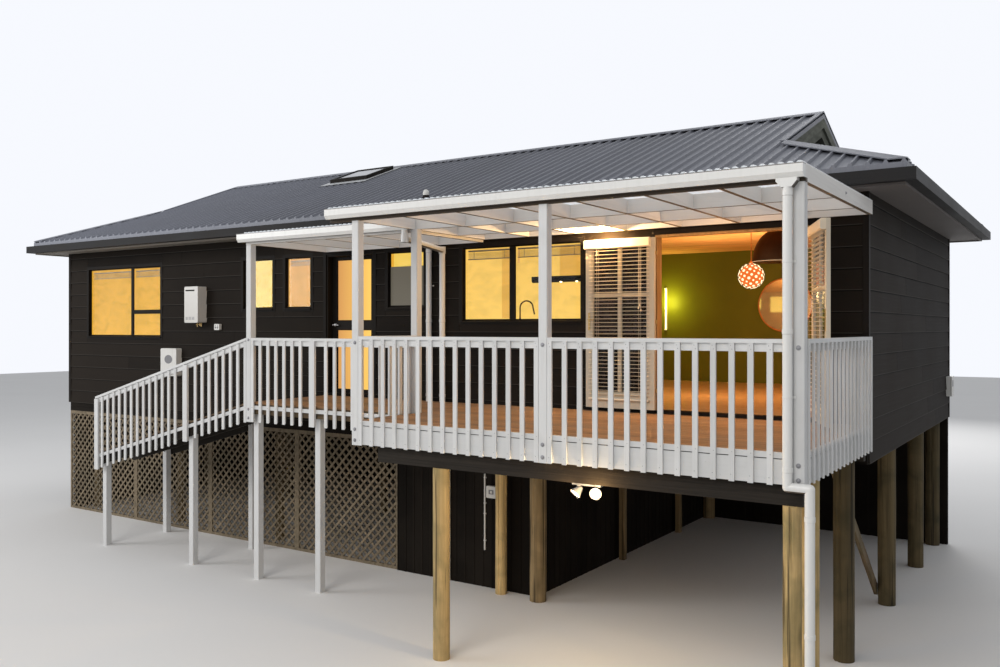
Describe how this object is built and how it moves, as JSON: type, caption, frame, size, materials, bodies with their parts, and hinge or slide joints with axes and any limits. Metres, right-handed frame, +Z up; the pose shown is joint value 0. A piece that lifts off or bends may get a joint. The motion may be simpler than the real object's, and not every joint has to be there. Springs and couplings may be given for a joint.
{
  "type": "elevated beach house",
  "caption": "Elevated black timber beach house on round poles, with a white-railed deck under a clear canopy, an entry ramp, glazed hinged doors and a carport below.",
  "frame": {"origin": "middle of the bounding box at ground level, where the poles and base walls stand", "axes": "+X along the front towards the deck end, +Y from the deck through the house to its rear wall, +Z up"},
  "size_m": [15.71, 9.345, 6.5122],
  "materials": {
    "round_pole": "weathered round timber poles, tan with green bands",
    "dark_pole": "shaded weathered round timber poles",
    "dark_timber": "dark stained framing timber",
    "framing_timber": "sawn framing timber",
    "black_boards": "charcoal black painted horizontal weatherboards",
    "black_lining": "black painted flat boards under the house",
    "lattice_timber": "weathered grey-white timber lattice",
    "deck_timber": "oiled brown timber deck boards",
    "white_timber": "white painted timber",
    "clear_sheet": "clear corrugated plastic sheet",
    "white_gutter": "white moulded gutters and pipes",
    "floor_timber": "polished timber floor",
    "green_paint": "olive green painted wall lining",
    "ceiling_timber": "warm varnished timber ceiling boards",
    "soffit_paint": "painted eaves lining and fascia",
    "black_gutter": "black steel gutter",
    "roof_steel": "slate grey ribbed roofing steel",
    "roof_fitting": "skylight frame and vent",
    "window_frame": "black window frames",
    "window_glass": "window panes lit warm from inside",
    "door_frame": "varnished timber door frame",
    "cream_paint": "cream painted glazed door",
    "white_plastic": "white plastic lamp bodies, boxes and pipes",
    "copper": "copper coloured pendants and mirror rim",
    "heater_steel": "white enamelled steel casing"
  },
  "bodies": {
    "house": {"front_poles": "round_pole", "right_poles": "dark_pole", "left_poles": "dark_pole", "knee_brace": "framing_timber", "deck_beam": "dark_timber", "deck_joists": "framing_timber", "floor_frame": "dark_timber", "carport_front_wall": "black_lining", "carport_side_wall": "black_lining", "rear_base_wall": "black_lining", "left_base_wall": "black_lining", "lattice_left": "lattice_timber", "lattice_right": "lattice_timber", "deck_boards": "deck_timber", "landing_boards": "deck_timber", "ramp_boards": "deck_timber", "front_balustrade_left": "white_timber", "front_balustrade_right": "white_timber", "right_balustrade": "white_timber", "deck_end_balustrade": "white_timber", "landing_balustrade": "white_timber", "ramp_balustrade": "white_timber", "landing_posts": "white_timber", "canopy_posts": "white_timber", "canopy_frame": "white_timber", "canopy_sheets": "clear_sheet", "canopy_gutters": "white_gutter", "downpipes": "white_gutter", "entry_canopy_frame": "white_timber", "floor": "floor_timber", "front_wall_base": "black_boards", "front_wall_left": "black_boards", "front_wall_middle": "black_boards", "front_wall_corner": "black_boards", "front_wall_heads": "black_boards", "right_wall": "black_boards", "left_wall": "black_boards", "rear_wall": "black_boards", "green_wall": "green_paint", "ceiling": "ceiling_timber", "soffit": "soffit_paint", "eaves_gutter": "black_gutter", "roof_front": "roof_steel", "roof_rear": "roof_steel", "roof_ends": "roof_steel", "gablets": "black_boards", "roof_caps": "roof_steel", "roof_fittings": "roof_fitting", "window_frames": "window_frame", "window_glass": "window_glass", "entry_door_frame": "window_frame", "french_frame": "door_frame", "water_heater": "heater_steel", "outdoor_lights": "white_plastic", "service_boxes": "white_plastic", "indoor_lights": "copper", "mirror": "copper"},
    "entry_door": {"entry_door": "window_frame"},
    "french_left": {"french_left": "cream_paint"},
    "french_right": {"french_right": "cream_paint"}
  },
  "joints": [
    {"name": "entry_door_hinge", "type": "hinge", "parent": "house", "child": "entry_door", "pos_m": [0.445, -1.8535, 2.49], "axis": [0, 0, -1], "range_deg": [0, 105]},
    {"name": "french_left_hinge", "type": "hinge", "parent": "house", "child": "french_left", "pos_m": [4.932, -2.0115, 2.49], "axis": [0, 0, 1], "range_deg": [0, 180]},
    {"name": "french_right_hinge", "type": "hinge", "parent": "house", "child": "french_right", "pos_m": [6.786, -2.0115, 2.49], "axis": [0, 0, 1], "range_deg": [-113, 7]}
  ]
}
